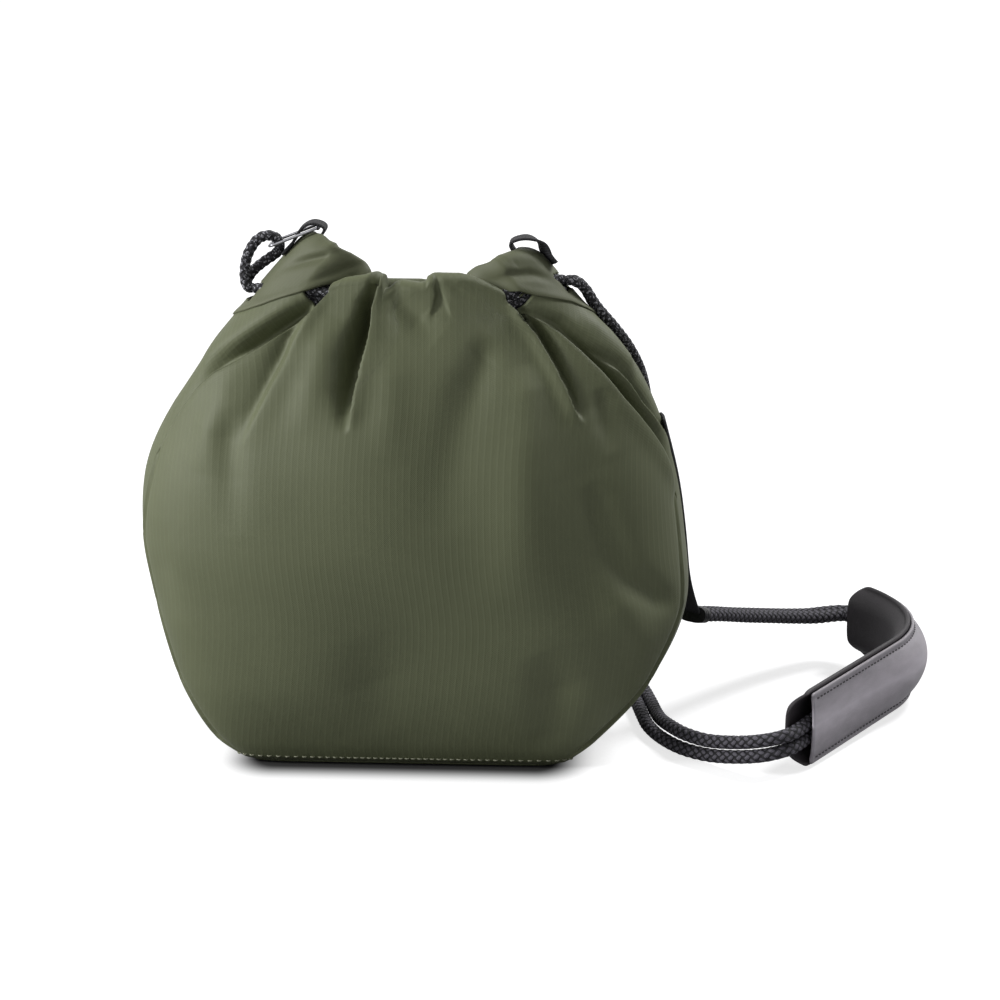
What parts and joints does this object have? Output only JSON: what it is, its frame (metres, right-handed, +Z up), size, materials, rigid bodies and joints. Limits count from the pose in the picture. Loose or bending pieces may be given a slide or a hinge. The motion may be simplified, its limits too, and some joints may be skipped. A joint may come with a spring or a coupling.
{
  "type": "drawstring pouch",
  "caption": "Padded drawstring pouch of ribbed olive cloth with a hemmed mouth, raised side ears, a drawcord, a swinging ring tab and a braided cord shoulder strap with a leather pad.",
  "frame": {"origin": "centre of the bag's footprint on the surface it stands on, with the strap and what is on it left out", "axes": "+Z up out of the mouth, +X towards the ear without the ring, where the strap lies in the picture, front panel faces -Y"},
  "size_m": [0.4025, 0.2207, 0.2636],
  "materials": {
    "shell_cloth": "ribbed olive nylon",
    "lining_cloth": "plain woven lining",
    "padding": "soft padding under cloth",
    "board": "stiff board",
    "drawcord": "braided, dark with pale flecks",
    "strap_cord": "diamond braid",
    "webbing": "ribbed webbing",
    "metal": "dark plated wire",
    "ferrule": "matte",
    "pad_backing": "suede-like, near black",
    "leather": "soft sheen, dark grey"
  },
  "bodies": {
    "pouch": {"front_panel": "shell_cloth", "back_panel": "shell_cloth", "left_gusset": "shell_cloth", "right_gusset": "shell_cloth", "base_panel": "shell_cloth", "base_board": "board", "wall_padding": "padding", "lining": "lining_cloth", "front_hem_casing": "shell_cloth", "back_hem_casing": "shell_cloth", "left_ear_casing": "shell_cloth", "right_ear_casing": "shell_cloth", "left_drawcord": "drawcord", "right_drawcord": "drawcord", "left_pull": "drawcord", "right_pull_front": "drawcord", "right_pull_back": "drawcord", "right_pull_knot": "drawcord", "left_tab": "webbing", "right_tab": "webbing", "right_side_webbing": "webbing", "left_side_webbing": "webbing", "right_ferrule": "ferrule", "left_ferrule": "ferrule", "strap_cord_a": "strap_cord", "strap_cord_b": "strap_cord", "pad_backing": "pad_backing", "pad_cover": "leather"},
    "ring": {"left_ring": "metal"}
  },
  "joints": [
    {"name": "ring_swing", "type": "hinge", "parent": "pouch", "child": "ring", "pos_m": [-0.04777, 0, 0.2605], "axis": [0, 1, 0], "range_deg": [-10, 25], "deforming": ["left_pull"]}
  ]
}
